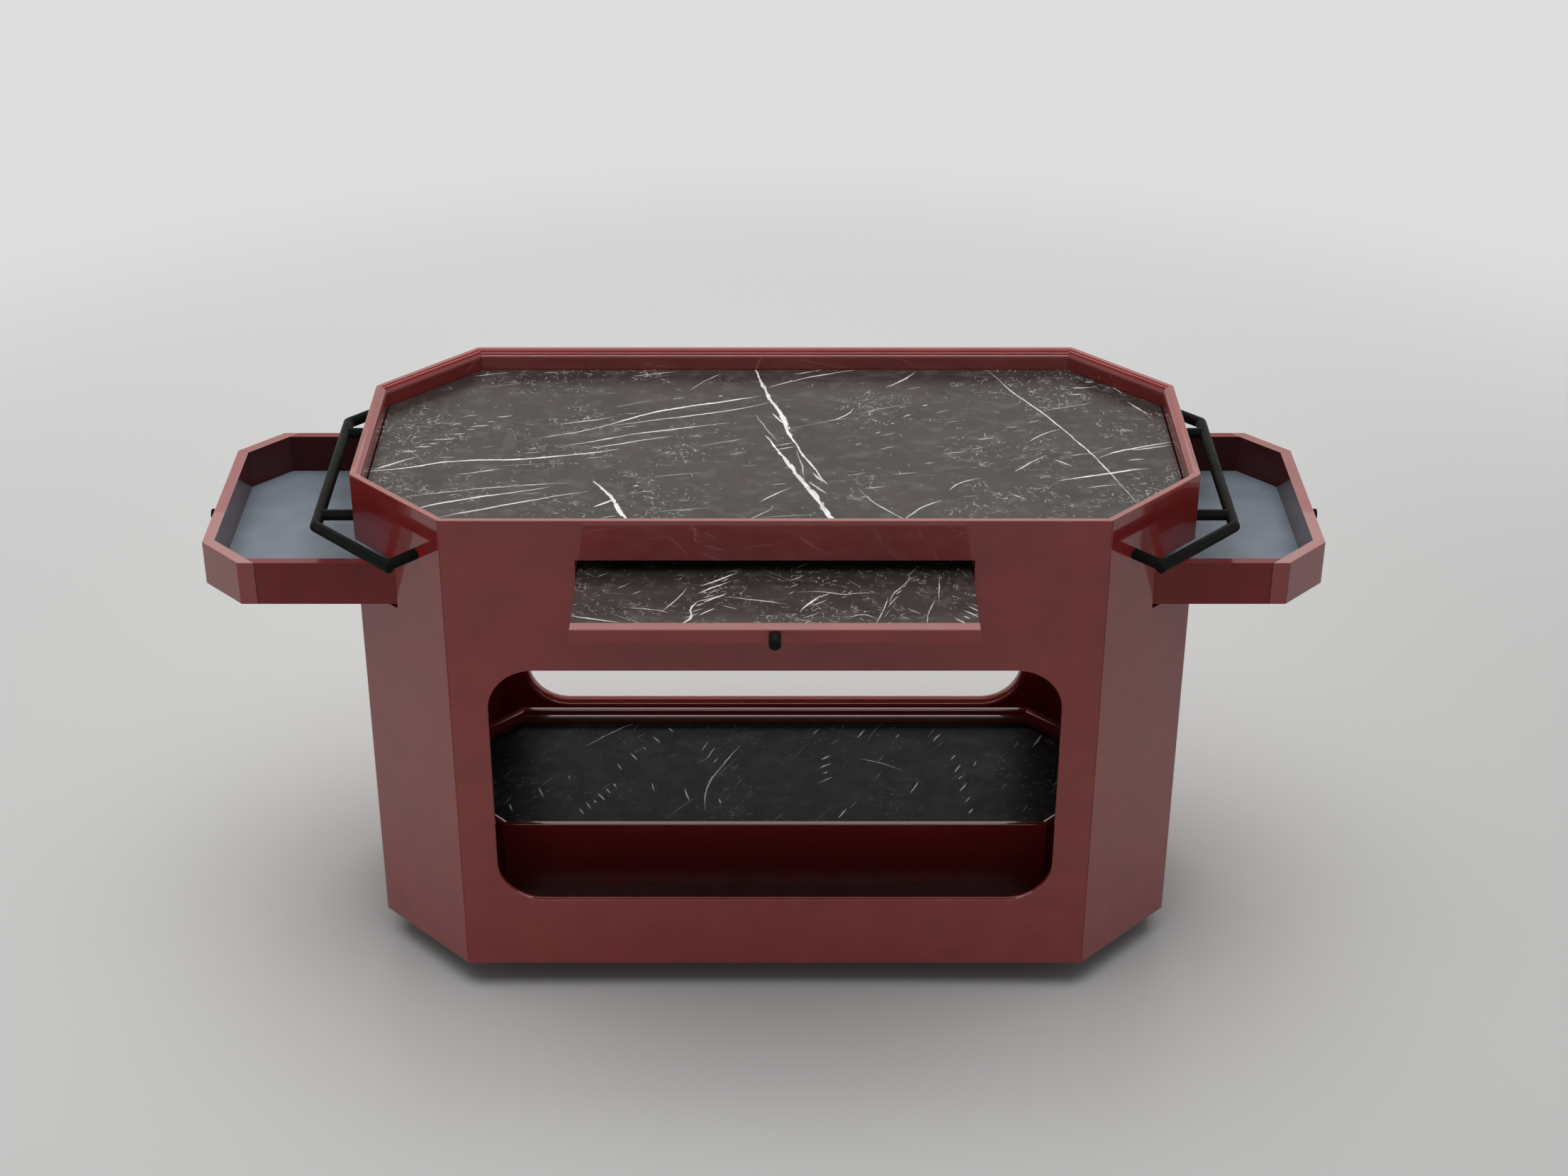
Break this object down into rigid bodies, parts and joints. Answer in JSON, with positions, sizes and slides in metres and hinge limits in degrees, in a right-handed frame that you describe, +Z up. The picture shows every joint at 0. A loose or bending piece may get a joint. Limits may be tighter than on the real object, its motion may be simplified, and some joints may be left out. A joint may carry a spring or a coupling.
{
  "type": "bar cart",
  "caption": "Octagonal lacquered bar cart with a recessed marble top, end drawers, a pull-out front shelf, an open lower tray, tubular push handles and swivel casters.",
  "frame": {"origin": "on the floor under the middle of the body, between the four casters", "axes": "+X along the body's length towards the right drawer, +Y from the shelf side to the back, +Z up"},
  "size_m": [1.737, 0.802, 0.85],
  "materials": {
    "lacquer": "high-gloss burgundy lacquer",
    "marble": "polished dark grey marble with white veins",
    "tray_marble": "polished near-black marble with pale flecks",
    "core_board": "satin dark red board",
    "drawer_lining": "smooth satin blue-grey lining",
    "black_metal": "satin black powder coat",
    "runner_wood": "waxed hardwood",
    "nylon": "black nylon",
    "caster_steel": "black coated steel",
    "screw_steel": "zinc-plated steel",
    "wheel_rubber": "matt grey-black rubber"
  },
  "bodies": {
    "carcass": {"back_left_corner_panel": "lacquer", "back_panel": "lacquer", "back_right_corner_panel": "lacquer", "base_board": "core_board", "caster_plates": "caster_steel", "caster_screws": "screw_steel", "drawer_deck": "core_board", "drawer_pads": "nylon", "drawer_runners": "runner_wood", "front_left_corner_panel": "lacquer", "front_panel": "lacquer", "front_right_corner_panel": "lacquer", "handle_screws": "screw_steel", "left_end_lower_panel": "lacquer", "left_end_upper_panel": "lacquer", "left_handle": "black_metal", "marble_top": "marble", "right_end_lower_panel": "lacquer", "right_end_upper_panel": "lacquer", "right_handle": "black_metal", "shelf_pads": "nylon", "shelf_runners": "runner_wood", "top_board": "core_board", "tray_board": "core_board", "tray_marble": "tray_marble", "tray_walls": "lacquer"},
    "left_drawer": {"left_drawer_back": "lacquer", "left_drawer_corner_boards": "lacquer", "left_drawer_floor": "lacquer", "left_drawer_front": "lacquer", "left_drawer_knob": "black_metal", "left_drawer_liner": "drawer_lining", "left_drawer_shoes": "nylon", "left_drawer_sides": "lacquer"},
    "right_drawer": {"right_drawer_back": "lacquer", "right_drawer_corner_boards": "lacquer", "right_drawer_floor": "lacquer", "right_drawer_front": "lacquer", "right_drawer_knob": "black_metal", "right_drawer_liner": "drawer_lining", "right_drawer_shoes": "nylon", "right_drawer_sides": "lacquer"},
    "pull_out_shelf": {"shelf_board": "core_board", "shelf_knob": "black_metal", "shelf_lip": "lacquer", "shelf_marble": "marble", "shelf_shoes": "nylon"},
    "front_left_caster": {"front_left_caster_axle": "screw_steel", "front_left_caster_fork": "caster_steel"},
    "front_left_wheel": {"front_left_caster_wheel": "wheel_rubber"},
    "front_right_caster": {"front_right_caster_axle": "screw_steel", "front_right_caster_fork": "caster_steel"},
    "front_right_wheel": {"front_right_caster_wheel": "wheel_rubber"},
    "back_left_caster": {"back_left_caster_axle": "screw_steel", "back_left_caster_fork": "caster_steel"},
    "back_left_wheel": {"back_left_caster_wheel": "wheel_rubber"},
    "back_right_caster": {"back_right_caster_axle": "screw_steel", "back_right_caster_fork": "caster_steel"},
    "back_right_wheel": {"back_right_caster_wheel": "wheel_rubber"}
  },
  "joints": [
    {"name": "left_drawer_slide", "type": "slide", "parent": "carcass", "child": "left_drawer", "axis": [-1, 0, 0], "range_m": [-0.2325, 0.059]},
    {"name": "right_drawer_slide", "type": "slide", "parent": "carcass", "child": "right_drawer", "axis": [1, 0, 0], "range_m": [-0.1985, 0.093]},
    {"name": "shelf_slide", "type": "slide", "parent": "carcass", "child": "pull_out_shelf", "axis": [0, -1, 0], "range_m": [-0.1645, 0.1185]},
    {"name": "front_left_swivel", "type": "hinge", "parent": "carcass", "child": "front_left_caster", "pos_m": [-0.46948, -0.19, 0.088], "axis": [0, 0, 1], "continuous": true},
    {"name": "front_left_wheel_spin", "type": "hinge", "parent": "front_left_caster", "child": "front_left_wheel", "pos_m": [-0.44348, -0.19, 0.0375], "axis": [0, 1, 0], "continuous": true},
    {"name": "front_right_swivel", "type": "hinge", "parent": "carcass", "child": "front_right_caster", "pos_m": [0.46948, -0.19, 0.088], "axis": [0, 0, 1], "continuous": true},
    {"name": "front_right_wheel_spin", "type": "hinge", "parent": "front_right_caster", "child": "front_right_wheel", "pos_m": [0.49548, -0.19, 0.0375], "axis": [0, 1, 0], "continuous": true},
    {"name": "back_left_swivel", "type": "hinge", "parent": "carcass", "child": "back_left_caster", "pos_m": [-0.46948, 0.19, 0.088], "axis": [0, 0, 1], "continuous": true},
    {"name": "back_left_wheel_spin", "type": "hinge", "parent": "back_left_caster", "child": "back_left_wheel", "pos_m": [-0.44348, 0.19, 0.0375], "axis": [0, 1, 0], "continuous": true},
    {"name": "back_right_swivel", "type": "hinge", "parent": "carcass", "child": "back_right_caster", "pos_m": [0.46948, 0.19, 0.088], "axis": [0, 0, 1], "continuous": true},
    {"name": "back_right_wheel_spin", "type": "hinge", "parent": "back_right_caster", "child": "back_right_wheel", "pos_m": [0.49548, 0.19, 0.0375], "axis": [0, 1, 0], "continuous": true}
  ]
}
